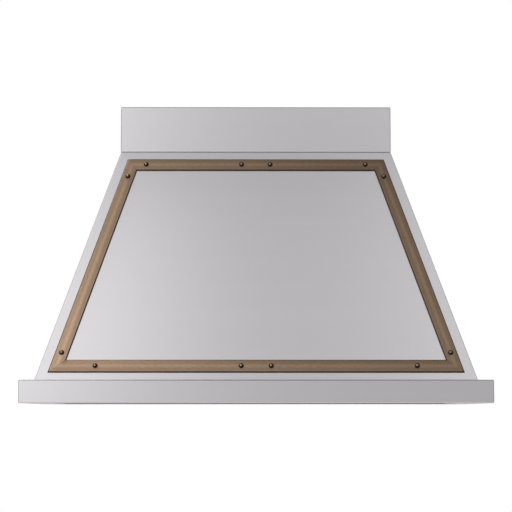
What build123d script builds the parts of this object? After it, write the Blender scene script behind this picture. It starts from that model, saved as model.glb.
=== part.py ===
from build123d import *
from math import atan, cos, degrees, hypot, radians, sin
import os

# Wall-mount range hood with a tapered canopy, a folded lip and a bronze frame of flat bars.
# Millimetres. X runs along the wall, the wall is the plane Y = 0 and the front faces -Y.
# Z = 0 is the underside of the lip.

os.makedirs("parts", exist_ok=True)

# Outer shell
HOOD_WIDTH = 1219.0
HOOD_DEPTH = 610.0
LIP_HEIGHT = 60.0
LEDGE = 36.0
CANOPY_HEIGHT = 627.5
TOP_WIDTH = 742.0
TOP_DEPTH = 356.0
BAND_HEIGHT = 126.5
SHEET = 1.2
BEND = 3.0
LIP_RETURN = 25.0
BASE_FLANGE = 18.0
TOP_FLANGE = 22.0
SIDE_RETURN = 18.0
REAR_RETURN = 20.0
SEAM = 0.2
TOUCH = 0.01
OVER = 5.0

# Wall fixing
STUD_SPACING = 406.4
LOWER_FIXING_Z = 127.0
FIXING_SLOT_LENGTH = 30.0
FIXING_SLOT_WIDTH = 9.0
RAIL_SHEET = 3.0
RAIL_HEIGHT = 60.0
RAIL_CLEARANCE = 0.5
RAIL_FLANGE = 22.0
RAIL_OVERHANG = 85.0

# Bronze frame on the canopy face
TRIM_WIDTH = 35.0
TRIM_EDGE = 1.8
TRIM_BEVEL_RUN = 2.5
TRIM_SHOULDER = 4.0
TRIM_CROWN = 5.0
TRIM_SIDE_MARGIN = 26.0
TRIM_TOP_MARGIN = 22.0
TRIM_BOTTOM_MARGIN = 20.0
SCREW_HEAD = 12.7
SCREW_DOME = 5.2
SCREW_SHANK = 4.8
SCREW_GRIP = 5.0
SCREW_CLEARANCE = 0.5
SCREW_SIDES = 12
SCREW_STEPS = ((1.0, 0.0), (0.85, 0.5), (0.45, 1.0))
MIDDLE_PAIR = 78.0
CORNER_PITCH = 38.0
BOTTOM_CORNER_PITCH = 99.0

# Underside liner
PAN_DEPTH = 114.5
PAN_RECESS = 12.0
PAN_FOOT = 21.0
PAN_FLANGE = 20.0
LINER_GAP = 1.0
FILTER_GAP = 1.5
LINER_LIFT = 3.0

# Grease filters
FILTER_TO_PAN = 7.3
FILTER_THICKNESS = 18.0
FILTER_PITCH = 2.0
FILTER_SHEET = 1.0
FILTER_RIM = 12.0
ROD_RADIUS = 4.0
ROD_FROM_WALL = 70.0
ROD_HEIGHT = 20.0
ROD_TO_FILTER = 6.0
FILTER_OVERHANG = 20.0
HOOK_SHEET = 1.5
HOOK_WIDTH = 24.0
HOOK_INSET = 60.0
HOOK_RUNNING = 0.08
BAFFLE_WIDTH = 24.0
BAFFLE_PITCH = 31.0
BAFFLE_HEIGHT = 9.4
BAFFLE_SPLAY = 1.6
BAFFLE_SHEET = 1.0
HANDLE_WIDTH = 90.0
HANDLE_DROP = 20.0
HANDLE_SHEET = 2.0
HANDLE_BEND = 8.0
LATCH_WIDTH = 30.0
LATCH_SHEET = 0.6
LATCH_REACH = 9.0
LATCH_FOOT = 6.0
LATCH_THROAT = 3.5
LATCH_SHOULDER = 5.5
LATCH_TAIL = 11.0
STRIKE_WIDTH = 36.0
STRIKE_HEIGHT = 9.0

# Grease tray
TRAY_DEPTH = 36.0
TRAY_HEIGHT = 9.2
TRAY_FROM_WALL = 26.0
TRAY_GAP = 1.5
TRAY_RUNNING = 0.3
GUIDE_WIDTH = 12.0
GUIDE_LENGTH = 145.0
GUIDE_ROOM = 1.5

# Lamps and controls
LAMP_SPACING = (190.0, 430.0)
LAMP_CAN = 60.0
LAMP_CAN_HEIGHT = 29.0
LAMP_BEZEL = 72.0
LAMP_LENS = 53.0
BEZEL_THICK = 2.0
BUTTON_COUNT = 4
BUTTON_PITCH = 28.0
BUTTON_SIZE = 15.6
BUTTON_GAP = 0.3
BUTTON_COLLAR = 1.6
BUTTON_PROUD = 2.5
BUTTON_EDGE = 0.8
BUTTON_TRAVEL = 2.0
BUTTON_STEM = 3.0
CONTROL_WIDTH = 132.0
CONTROL_DEPTH = 36.0
CONTROL_MARGIN = 8.0
SWITCH_HEIGHT = 20.0
SWITCH_WALL = 2.0
DRIVER_SIZE = (150.0, 42.0, 24.0)
DRIVER_X = -310.0
DRIVER_TAB = 14.0

# Blower
WHEEL_RADIUS = 110.0
WHEEL_INNER = 87.0
WHEEL_HALF_WIDTH = 108.0
WHEEL_RING = 2.0
BLADE_COUNT = 24
BLADE_SHEET = 1.2
BLADE_SWEEP = 9.0
BLADE_BOW = 6.0
HUB_RADIUS = 14.0
HUB_LENGTH = 30.0
SHAFT_RADIUS = 6.0
SHAFT_RUNNING = 0.06
SHAFT_SEAT = 0.02
SHAFT_REACH = 60.0
TONGUE_GAP = 11.0
TONGUE_RADIUS = 10.0
SPIRAL_STEP = 18.0
SCROLL_HALF_WIDTH = 125.0
SCROLL_SHEET = 1.2
CHEEK_SHEET = 1.5
BLOWER_FORWARD = 85.0
BLOWER_DROP = 250.0
MOUTH_HEIGHT = 166.0
INLET_RADIUS = 89.0
INLET_BELL = 11.0
INLET_FLANGE = 13.0
INLET_SHEET = 1.0
MOTOR_RADIUS = 52.0
MOTOR_START = 20.0
MOTOR_EDGE = 6.0
CLAMP_SHEET = 3.0
CLAMP_WIDTH = 10.0
ARM_WIDTH = 18.0
ARM_RADIUS = 119.0
ARM_FOOT = 9.0
ARM_ANGLES = (30, 150, 270)
CAPACITOR_RADIUS = 18.0
CAPACITOR_LENGTH = 72.0
CAPACITOR_Y = -130.0

# Duct outlet and supply
DECK_SHEET = 2.0
COLLAR_RADIUS = 125.5
COLLAR_SHEET = 1.2
COLLAR_HEIGHT = 80.0
COLLAR_FLANGE = 15.0
STOP_HEIGHT = 38.0
STOP_WIDTH = 5.5
FLAP_SHEET = 1.0
FLAP_GAP = 1.5
FLAP_SEAT = 0.4
DAMPER_PIN = 3.0
KNUCKLE_SHEET = 1.5
KNUCKLE_RUNNING = 0.06
KNUCKLE_LENGTH = 24.0
TRANSITION_FLANGE = 12.0
BOLT_NECK = 6.0
BOLT_HEAD = 13.0
BOLT_HEAD_HEIGHT = 3.2
BOLT_HEAD_TOP = 7.0
BOLT_NUT = 10.0
BOLT_CLEARANCE = 0.4
BOLT_ROWS = (0.2, 0.8)
NUT_HEIGHT = 2.4
BOX_SIZE = (100.0, 70.0, 60.0)
BOX_PLACE = (275.0, -80.0)
BOX_WALL = 1.5
GLAND_BORE = 7.0
GLAND_BODY = 10.0
GLAND_HEX = 28.0
GLAND_HEX_HEIGHT = 8.0
GLAND_CAP = 23.0
GLAND_HEIGHT = 20.0
GLAND_THREAD = 10.0

# Places that follow from the sizes above
HALF_WIDTH = HOOD_WIDTH / 2
BASE_HALF = HALF_WIDTH - LEDGE
BASE_DEPTH = HOOD_DEPTH - LEDGE
TOP_HALF = TOP_WIDTH / 2
CANOPY_TOP = LIP_HEIGHT + CANOPY_HEIGHT
BAND_TOP = CANOPY_TOP + BAND_HEIGHT
UPPER_FIXING_Z = CANOPY_TOP - REAR_RETURN - RAIL_CLEARANCE - RAIL_HEIGHT / 2
FRONT_RUN = BASE_DEPTH - TOP_DEPTH
SIDE_RUN = BASE_HALF - TOP_HALF
FRONT_SLOPE = atan(FRONT_RUN / CANOPY_HEIGHT)
SIDE_SLOPE = atan(SIDE_RUN / CANOPY_HEIGHT)
FACE_LENGTH = hypot(FRONT_RUN, CANOPY_HEIGHT)
LEDGE_INNER = LEDGE + BASE_FLANGE


def write(node, shape):
    """Save one sub-part as a STEP file named after it."""
    export_step(shape, f"parts/{node}.step")


def block(x0, x1, y0, y1, z0, z1):
    """A box given by its two corners."""
    corner = Pos(x0, y0, z0)
    return corner * Box(x1 - x0, y1 - y0, z1 - z0, align=(Align.MIN, Align.MIN, Align.MIN))


def upright(x, y, z0, z1, radius):
    """A vertical cylinder from z0 to z1."""
    return Pos(x, y, z0) * Cylinder(radius, z1 - z0, align=(Align.CENTER, Align.CENTER, Align.MIN))


def sheet_strip(points, bend, thickness):
    """The cross-section of a folded sheet, from its outer line with rounded bends."""
    line = FilletPolyline(*points, radius=bend)
    return make_face(offset(line, amount=thickness, side=Side.LEFT, closed=True).edges())


def thin_strip(points, thickness):
    """The cross-section of a thin sheet with square corners, from its line."""
    line = Polyline(*points)
    return make_face(
        offset(line, amount=thickness, side=Side.LEFT, closed=True, kind=Kind.INTERSECTION).edges()
    )


def along_x(section, x0, x1):
    """Extrude a section drawn in (y, z) from x0 to x1."""
    plane = Plane(origin=(x0, 0, 0), x_dir=(0, 1, 0), z_dir=(1, 0, 0))
    return extrude(plane * section, amount=x1 - x0)


def folded_surround(half_width, depth, z0, z1, top_flange, bottom_flange):
    """Front and two sides with flanges turned in at top and bottom, mitred at the corners."""
    outer = block(-half_width, half_width, -depth, -SHEET, z0, z1)
    outer = fillet(
        outer.edges().filter_by(lambda e: is_level_bend(e, half_width, depth)), BEND
    )
    inner = block(
        SHEET - half_width, half_width - SHEET, SHEET - depth, OVER, z0 + SHEET, z1 - SHEET
    )
    inner = fillet(
        inner.edges().filter_by(
            lambda e: is_level_bend(e, half_width - SHEET, depth - SHEET)
        ),
        BEND - SHEET,
    )
    shape = outer - inner
    for flange, low, high in (
        (top_flange, z1 - SHEET - OVER, z1 + OVER),
        (bottom_flange, z0 - OVER, z0 + SHEET + OVER),
    ):
        reach = half_width - flange
        shape -= block(-reach, reach, flange - depth, OVER, low, high)
    return shape


def is_level_bend(edge, half_width, depth):
    """True for the level edges of a box along its front and two sides."""
    place = edge.center()
    at_front = abs(place.Y + depth) < TOUCH
    at_side = abs(abs(place.X) - half_width) < TOUCH
    return at_front != at_side


def front_y(z, wall=0.0):
    """Where the sloping front face, moved inwards by a wall, lies at height z."""
    return (z - LIP_HEIGHT) * FRONT_RUN / CANOPY_HEIGHT - BASE_DEPTH + wall / cos(FRONT_SLOPE)


def side_x(z, wall=0.0):
    """Half the width between the sloping sides, moved inwards by a wall, at height z."""
    return BASE_HALF - (z - LIP_HEIGHT) * SIDE_RUN / CANOPY_HEIGHT - wall / cos(SIDE_SLOPE)


def canopy_block(wall, z0, z1, back):
    """The tapered form of the canopy between two heights, moved inwards by a wall."""
    side = Polyline(
        (front_y(z0, wall), z0), (front_y(z1, wall), z1), (back, z1), (back, z0), close=True
    )
    low, high = side_x(z0, wall), side_x(z1, wall)
    front = Polyline((-low, z0), (low, z0), (high, z1), (-high, z1), close=True)
    plane = Plane(origin=(0, back, 0), x_dir=(1, 0, 0), z_dir=(0, -1, 0))
    return along_x(make_face(side), -low, low) & extrude(plane * make_face(front), amount=HOOD_DEPTH)


def canopy_bends(shape, wall):
    """The two slanting front edges, where the front panel folds back over the sides."""

    def wanted(edge):
        place = edge.center()
        on_front = abs(place.Y - front_y(place.Z, wall)) < TOUCH
        return on_front and abs(abs(place.X) - side_x(place.Z, wall)) < TOUCH

    return shape.edges().filter_by(wanted)


def bolt_points():
    """Where bolts pass through the deck and the flanges below it."""
    side = TOP_HALF - TOP_FLANGE / 2
    return [(s * side, -row * TOP_DEPTH) for s in (-1, 1) for row in BOLT_ROWS]


def bolt_holes():
    """Square holes for the deck bolts' square necks."""
    width = BOLT_NECK + 2 * BOLT_CLEARANCE
    square = Rectangle(width, width)
    squares = Sketch() + [Pos(x, y) * square for x, y in bolt_points()]
    return extrude(Pos(0, 0, CANOPY_TOP) * squares, amount=OVER, both=True)


def fixing_points():
    """Centres of the four wall-fixing slots, as (x, z)."""
    rows = (LOWER_FIXING_Z, UPPER_FIXING_Z)
    return [(s * STUD_SPACING / 2, z) for s in (-1, 1) for z in rows]


def fixing_slots():
    """Level slots through the back for the wall screws."""
    plane = Plane(origin=(0, OVER, 0), x_dir=(1, 0, 0), z_dir=(0, -1, 0))
    slots = Sketch()
    for x, z in fixing_points():
        slots += Pos(x, z) * SlotOverall(FIXING_SLOT_LENGTH, FIXING_SLOT_WIDTH)
    return extrude(plane * slots, amount=2 * OVER + RAIL_SHEET)


# The canopy face carries the frame. Its plane has u along the wall and v up the slope.
FACE = Plane(
    origin=(0, -BASE_DEPTH, LIP_HEIGHT),
    x_dir=(1, 0, 0),
    z_dir=(0, -cos(FRONT_SLOPE), sin(FRONT_SLOPE)),
)
FACE_TAPER = atan(SIDE_RUN / FACE_LENGTH)
TRIM_LOW = TRIM_BOTTOM_MARGIN
TRIM_HIGH = FACE_LENGTH - TRIM_TOP_MARGIN


def face_half(v, margin=0.0):
    """Half the width of the canopy face at v, less a margin square to its side."""
    return BASE_HALF - v * SIDE_RUN / FACE_LENGTH - margin / cos(FACE_TAPER)


def trim_screw_points():
    """Screw places on the frame, as (u, v)."""
    middle = TRIM_WIDTH / 2
    low, high = TRIM_LOW + middle, TRIM_HIGH - middle
    line = TRIM_SIDE_MARGIN + middle
    rise = CORNER_PITCH * cos(FACE_TAPER)
    points = []
    for s in (-1, 1):
        points.append((s * MIDDLE_PAIR / 2, high))
        points.append((s * MIDDLE_PAIR / 2, low))
        points.append((s * (face_half(high, line) - CORNER_PITCH), high))
        points.append((s * (face_half(low, line) - BOTTOM_CORNER_PITCH), low))
        for v in (low + rise, high - rise):
            points.append((s * face_half(v, line), v))
    return points


def trim_screw_holes():
    """Square holes through the bars and the canopy face for the screws' square necks."""
    width = SCREW_SHANK + 2 * SCREW_CLEARANCE
    square = Rectangle(width, width)
    squares = Sketch() + [Pos(u, v) * square for u, v in trim_screw_points()]
    return extrude(FACE * squares, amount=SCREW_HEAD, both=True)


def build_lip():
    """The lip: a folded channel round the front and two sides, welded at its corners."""
    lip = folded_surround(HALF_WIDTH, HOOD_DEPTH, 0.0, LIP_HEIGHT, LEDGE_INNER, LIP_RETURN)
    write("lip_apron", lip)


def build_rear_rail():
    """The channel along the wall that closes the lip at the back."""
    half = HALF_WIDTH
    web = block(-half, half, -SHEET, 0, 0, LIP_HEIGHT)
    low_half = half - LIP_RETURN - SEAM
    low = block(-low_half, low_half, -LIP_RETURN, -SHEET, 0, SHEET)
    top_half = half - LEDGE_INNER - SEAM
    top = block(-top_half, top_half, -LEDGE_INNER, -SHEET, LIP_HEIGHT - SHEET, LIP_HEIGHT)
    write("rear_rail", web + low + top)


def build_canopy():
    """The front panel with its side returns, and the two side panels welded to it."""
    outer = canopy_block(0, LIP_HEIGHT, CANOPY_TOP, -SHEET)
    outer = fillet(canopy_bends(outer, 0), BEND)
    low, high = LIP_HEIGHT + SHEET, CANOPY_TOP - SHEET
    inner = canopy_block(SHEET, low, high, -2 * SHEET)
    inner = fillet(canopy_bends(inner, SHEET), BEND - SHEET)
    window = canopy_block(REAR_RETURN, LIP_HEIGHT + REAR_RETURN, CANOPY_TOP - REAR_RETURN, OVER)
    shell = outer - inner - window
    foot = BASE_HALF - BASE_FLANGE
    shell -= block(-foot, foot, BASE_FLANGE - BASE_DEPTH, OVER, 0, low + OVER)
    head = TOP_HALF - TOP_FLANGE
    shell -= block(-head, head, TOP_FLANGE - TOP_DEPTH, OVER, high - OVER, CANOPY_TOP + OVER)
    shell -= bolt_holes()
    behind = Plane(
        origin=(0, front_y(LIP_HEIGHT, SIDE_RETURN), LIP_HEIGHT), z_dir=(-FACE.z_dir)
    )
    front = split(shell, bisect_by=behind, keep=Keep.BOTTOM)
    sides = split(shell, bisect_by=behind, keep=Keep.TOP)
    write("front_panel", front - trim_screw_holes())
    middle = Plane.YZ
    write("left_side_panel", split(sides, bisect_by=middle, keep=Keep.BOTTOM))
    write("right_side_panel", split(sides, bisect_by=middle, keep=Keep.TOP))


def build_back():
    """The flat back panel against the wall, and the rail that carries the wall screws."""
    outline = Polyline(
        (-BASE_HALF, LIP_HEIGHT),
        (BASE_HALF, LIP_HEIGHT),
        (TOP_HALF, CANOPY_TOP),
        (TOP_HALF, BAND_TOP),
        (-TOP_HALF, BAND_TOP),
        (-TOP_HALF, CANOPY_TOP),
        close=True,
    )
    plane = Plane(origin=(0, 0, 0), x_dir=(1, 0, 0), z_dir=(0, -1, 0))
    panel = extrude(plane * make_face(outline), amount=SHEET)
    write("back_panel", panel - fixing_slots())
    low, high = UPPER_FIXING_Z - RAIL_HEIGHT / 2, UPPER_FIXING_Z + RAIL_HEIGHT / 2
    tip = -SHEET - RAIL_FLANGE
    section = sheet_strip(
        [(tip, low), (-SHEET, low), (-SHEET, high), (tip, high)], BEND + RAIL_SHEET, RAIL_SHEET
    )
    half = STUD_SPACING / 2 + RAIL_OVERHANG
    write("hanging_rail", along_x(section, -half, half) - fixing_slots())


def build_band():
    """The upright band above the canopy that hides the duct joint."""
    band = folded_surround(TOP_HALF, TOP_DEPTH, CANOPY_TOP, BAND_TOP, TOP_FLANGE, TOP_FLANGE)
    write("duct_band", band - bolt_holes())


def trim_bar(length):
    """A flat bar with a low crown and bevelled edges, lying along u on the face."""
    half, shoulder = TRIM_WIDTH / 2, TRIM_WIDTH / 2 - TRIM_BEVEL_RUN
    lines = Polyline(
        (-shoulder, TRIM_SHOULDER), (-half, TRIM_EDGE), (-half, 0), (half, 0), (half, TRIM_EDGE),
        (shoulder, TRIM_SHOULDER),
    )
    crown = ThreePointArc((-shoulder, TRIM_SHOULDER), (0, TRIM_CROWN), (shoulder, TRIM_SHOULDER))
    section = make_face(lines.edges() + crown.edges())
    return along_x(section, -length / 2, length / 2)


def build_trim():
    """Four mitred bronze bars and the dome-head screws that hold them."""
    corners = {}
    for edge, inset in (("outer", 0.0), ("inner", TRIM_WIDTH)):
        low, high = TRIM_LOW + inset, TRIM_HIGH - inset
        margin = TRIM_SIDE_MARGIN + inset
        corners[edge] = ((face_half(low, margin), low), (face_half(high, margin), high))
    (out_low, out_high), (in_low, in_high) = corners["outer"], corners["inner"]

    def flip(point):
        return (-point[0], point[1])

    middle = TRIM_WIDTH / 2
    side_v = FACE_LENGTH / 2
    side_u = face_half(side_v, TRIM_SIDE_MARGIN + middle)
    lean = 90 + degrees(FACE_TAPER)
    bars = {
        "trim_bottom": ((flip(out_low), out_low, in_low, flip(in_low)), (0, TRIM_LOW + middle), 0),
        "trim_top": (
            (flip(out_high), out_high, in_high, flip(in_high)), (0, TRIM_HIGH - middle), 180
        ),
        "trim_right": ((out_low, out_high, in_high, in_low), (side_u, side_v), lean),
        "trim_left": (
            (flip(out_low), flip(out_high), flip(in_high), flip(in_low)), (-side_u, side_v), -lean
        ),
    }
    holes = trim_screw_holes()
    for node, (outline, centre, turn) in bars.items():
        bar = Pos(*centre) * Rot(0, 0, turn) * trim_bar(HOOD_WIDTH)
        mitred = bar & extrude(make_face(Polyline(*outline, close=True)), amount=2 * TRIM_CROWN)
        write(node, FACE * mitred - holes)

    radius, shank, seat = SCREW_HEAD / 2, SCREW_SHANK / 2, TRIM_CROWN
    rings = [
        Pos(0, 0, seat + SCREW_DOME * rise) * RegularPolygon(radius * share, SCREW_SIDES)
        for share, rise in SCREW_STEPS
    ]
    screw = loft(rings, ruled=True) + block(-shank, shank, -shank, shank, -SCREW_GRIP, seat)
    write("trim_screws", Compound([FACE * Pos(u, v) * screw for u, v in trim_screw_points()]))


# The liner closes the underside inside the lip.
PAN_REAR = LIP_RETURN + PAN_DEPTH - HOOD_DEPTH + SHEET
PAN_TOP = LIP_HEIGHT - 2 * SHEET
PAN_MIDDLE = (PAN_REAR + LIP_RETURN - HOOD_DEPTH) / 2
PAN_UPPER = PAN_RECESS + SHEET
BAY_HALF = HALF_WIDTH - LEDGE_INNER + LINER_LIFT
BAY_INNER = BAY_HALF - GUIDE_WIDTH
TRAY_LOW = 2 * SHEET + TRAY_RUNNING
FILTER_WIDTH = (2 * BAY_INNER - 2 * LINER_GAP - 2 * FILTER_GAP) / 3
FILTER_NAMES = ("left", "centre", "right")
FILTER_X = {name: (i - 1) * (FILTER_WIDTH + FILTER_GAP) for i, name in enumerate(FILTER_NAMES)}
FILTER_FRONT = PAN_REAR + ROD_FROM_WALL + FILTER_TO_PAN
BUTTON_X = [(i - (BUTTON_COUNT - 1) / 2) * BUTTON_PITCH for i in range(BUTTON_COUNT)]
BUTTON_NAMES = ("button_off", "button_slower", "button_faster", "button_lamp")
LAMP_X = [s * x for x in LAMP_SPACING for s in (-1, 1)]


def filter_place(name):
    """Where a filter's own frame, with the rod's axis as its origin, sits in the hood."""
    return Pos(FILTER_X[name], -ROD_FROM_WALL, ROD_HEIGHT) * Rot(-FILTER_PITCH, 0, 0)


def nose_height():
    """Height of the latch nose above the lip's underside."""
    reach = FILTER_FRONT - LATCH_REACH
    level = ROD_TO_FILTER + FILTER_THICKNESS / 2
    tilt = radians(FILTER_PITCH)
    return ROD_HEIGHT - reach * sin(tilt) + level * cos(tilt)


def build_light_panel():
    """The folded pan along the front that holds the lamps and the buttons, and its cover."""
    front = LIP_RETURN - HOOD_DEPTH + SHEET
    points = [
        (front - PAN_FOOT, SHEET),
        (front, SHEET),
        (front, PAN_RECESS),
        (PAN_REAR, PAN_RECESS),
        (PAN_REAR, PAN_TOP),
        (PAN_REAR - PAN_FLANGE, PAN_TOP),
    ]
    half = HALF_WIDTH - BEND - SEAM
    pan = along_x(sheet_strip(points, BEND, SHEET), -half, half)
    for x in LAMP_X:
        pan -= upright(x, PAN_MIDDLE, 0, 2 * PAN_RECESS, LAMP_CAN / 2 + BUTTON_GAP)
    opening_x = CONTROL_WIDTH / 2 - CONTROL_MARGIN
    opening_y = CONTROL_DEPTH / 2 - CONTROL_MARGIN
    pan -= block(
        -opening_x, opening_x, PAN_MIDDLE - opening_y, PAN_MIDDLE + opening_y, 0, 2 * PAN_RECESS
    )
    for name in FILTER_NAMES:
        x, z = FILTER_X[name], nose_height()
        pan -= block(
            x - STRIKE_WIDTH / 2, x + STRIKE_WIDTH / 2, PAN_REAR - OVER, PAN_REAR + OVER,
            z - STRIKE_HEIGHT / 2, z + STRIKE_HEIGHT / 2,
        )
    write("light_panel", pan)
    edge = BEND + SEAM
    cover = block(-half, half, edge - HOOD_DEPTH, PAN_REAR, PAN_TOP, PAN_TOP + SHEET)
    write("light_panel_cover", cover)


def build_side_liners():
    """Channels that close the ends of the filter bay, each stepped over a rail for the tray."""
    start, end = PAN_REAR + SEAM, -LIP_RETURN - SEAM
    outer, high = HALF_WIDTH - LIP_RETURN, PAN_TOP + SHEET
    step = TRAY_LOW + TRAY_HEIGHT + GUIDE_ROOM
    points = [
        (outer, high), (BAY_INNER, high), (BAY_INNER, step), (BAY_HALF, step), (BAY_HALF, SHEET),
        (outer, SHEET),
    ]
    plane = Plane(origin=(0, start, 0), x_dir=(1, 0, 0), z_dir=(0, -1, 0))
    liner = extrude(plane * sheet_strip(points, BEND, SHEET), amount=start - end)
    guide_start = end - GUIDE_LENGTH
    liner += block(BAY_INNER, outer, guide_start, end, SHEET, 2 * SHEET)
    write("right_side_liner", liner)
    write("left_side_liner", mirror(liner, about=Plane.YZ))


def build_filters():
    """Three baffle filters that hook over the rear rod and latch at the front."""
    reach = BAY_INNER - SEAM
    rod = Pos(0, -ROD_FROM_WALL, ROD_HEIGHT) * Rot(0, 90, 0) * Cylinder(ROD_RADIUS, 2 * reach)
    write("filter_rod", rod)
    half = FILTER_WIDTH / 2
    bottom, top = ROD_TO_FILTER, ROD_TO_FILTER + FILTER_THICKNESS
    wall, rim = FILTER_SHEET, FILTER_RIM
    frame = block(-half, half, FILTER_FRONT, FILTER_OVERHANG, bottom, top)
    frame -= block(
        wall - half, half - wall, FILTER_FRONT + wall, FILTER_OVERHANG - wall, bottom + wall, top - wall
    )
    frame -= block(
        rim - half, half - rim, FILTER_FRONT + rim, FILTER_OVERHANG - rim, bottom - OVER, top + OVER
    )
    inner = ROD_RADIUS + HOOK_RUNNING
    outer = inner + HOOK_SHEET
    hook = Rectangle(2 * outer, bottom, align=(Align.CENTER, Align.MIN)) + Circle(outer)
    leg = ROD_RADIUS + HOOK_SHEET
    hook -= Circle(inner) + Rectangle(2 * inner, leg + outer, align=(Align.CENTER, Align.MAX))
    hook &= Pos(0, -ROD_RADIUS) * Rectangle(2 * outer, 2 * bottom, align=(Align.CENTER, Align.MIN))
    tab = Pos(-outer, bottom - HOOK_SHEET) * Rectangle(
        outer + FILTER_OVERHANG, HOOK_SHEET, align=(Align.MIN, Align.MIN)
    )
    hook += tab
    for s in (-1, 1):
        x = s * (half - HOOK_INSET)
        frame += along_x(hook, x - HOOK_WIDTH / 2, x + HOOK_WIDTH / 2)

    level = bottom + wall + SEAM
    ceiling = top - wall - SEAM
    base, legs = BAFFLE_WIDTH / 2 - BAFFLE_SPLAY, BAFFLE_WIDTH / 2
    trough = [(-legs, BAFFLE_HEIGHT), (-base, 0), (base, 0), (legs, BAFFLE_HEIGHT)]
    section = thin_strip(trough, BAFFLE_SHEET)
    count = int((2 * (half - rim) + BAFFLE_PITCH - BAFFLE_WIDTH) // BAFFLE_PITCH)
    start, end = FILTER_FRONT + wall + SEAM, FILTER_OVERHANG - wall - SEAM
    plane = Plane(origin=(0, start, 0), x_dir=(1, 0, 0), z_dir=(0, -1, 0))
    baffle = extrude(plane * section, amount=start - end)
    baffles = []
    for i in range(count):
        x = (i - (count - 1) / 2) * BAFFLE_PITCH
        baffles.append(Pos(x, 0, level) * baffle)
        if i < count - 1:
            turned = mirror(baffle, about=Plane.XY)
            baffles.append(Pos(x + BAFFLE_PITCH / 2, 0, ceiling) * turned)

    grip = HANDLE_WIDTH / 2
    points = [(-grip, bottom), (-grip, bottom - HANDLE_DROP), (grip, bottom - HANDLE_DROP), (grip, bottom)]
    plane = Plane(origin=(0, FILTER_FRONT + rim, 0), x_dir=(1, 0, 0), z_dir=(0, -1, 0))
    handle = extrude(plane * sheet_strip(points, HANDLE_BEND, HANDLE_SHEET), amount=rim - wall)

    face = FILTER_FRONT
    nose, throat = face - LATCH_REACH, face - LATCH_THROAT
    middle = bottom + FILTER_THICKNESS / 2
    spring = [
        (face, middle - LATCH_FOOT), (face, middle + LATCH_FOOT), (throat, middle + LATCH_SHOULDER),
        (nose, middle), (throat, middle - LATCH_SHOULDER), (throat, middle - LATCH_TAIL),
    ]
    latch = along_x(thin_strip(spring, LATCH_SHEET), -LATCH_WIDTH / 2, LATCH_WIDTH / 2)

    for name in FILTER_NAMES:
        place = filter_place(name)
        write(f"filter_frame_{name}", place * frame)
        write(f"filter_baffles_{name}", place * Compound(baffles))
        write(f"filter_handle_{name}", place * handle)
        write(f"filter_latch_{name}", place * latch)


def build_grease_tray():
    """A shallow tray under the filters' rear edges that slides forward on its rails."""
    half = BAY_HALF - TRAY_GAP
    low, high = TRAY_LOW, TRAY_LOW + TRAY_HEIGHT
    back, front = -TRAY_FROM_WALL, -TRAY_FROM_WALL - TRAY_DEPTH
    tray = block(-half, half, front, back, low, high)
    tray = fillet(tray.edges().filter_by(Axis.Z), BEND)
    inner = block(
        SHEET - half, half - SHEET, front + SHEET, back - SHEET, low + SHEET, high + OVER
    )
    inner = fillet(inner.edges().filter_by(Axis.Z), BEND - SHEET)
    write("grease_tray", tray - inner)


def build_lamps():
    """Recessed lamps: a finned can above the pan, with its lens and bezel below."""
    can_high, radius = PAN_UPPER + LAMP_CAN_HEIGHT, LAMP_CAN / 2
    can = upright(0, 0, PAN_RECESS, can_high, radius)
    bezel = upright(0, 0, PAN_RECESS - BEZEL_THICK, PAN_RECESS, LAMP_BEZEL / 2)
    bezel -= upright(0, 0, 0, PAN_RECESS, LAMP_LENS / 2 + SEAM)
    lens = upright(0, 0, PAN_RECESS - BEZEL_THICK / 2, PAN_RECESS, LAMP_LENS / 2)
    for node, piece in (("lamp_cans", can), ("lamp_bezels", bezel), ("lamp_lenses", lens)):
        write(node, Compound([Pos(x, PAN_MIDDLE, 0) * piece for x in LAMP_X]))

    length, depth, height = DRIVER_SIZE
    driver = Pos(DRIVER_X, PAN_MIDDLE, PAN_UPPER) * Box(
        length, depth, height, align=(Align.CENTER, Align.CENTER, Align.MIN)
    )
    driver = fillet(driver.edges().filter_by(Axis.Z), BEND)
    tabs = Pos(DRIVER_X, PAN_MIDDLE, PAN_UPPER) * Box(
        length + 2 * DRIVER_TAB, depth / 2, SHEET, align=(Align.CENTER, Align.CENTER, Align.MIN)
    )
    write("lamp_driver", driver + tabs)


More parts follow.
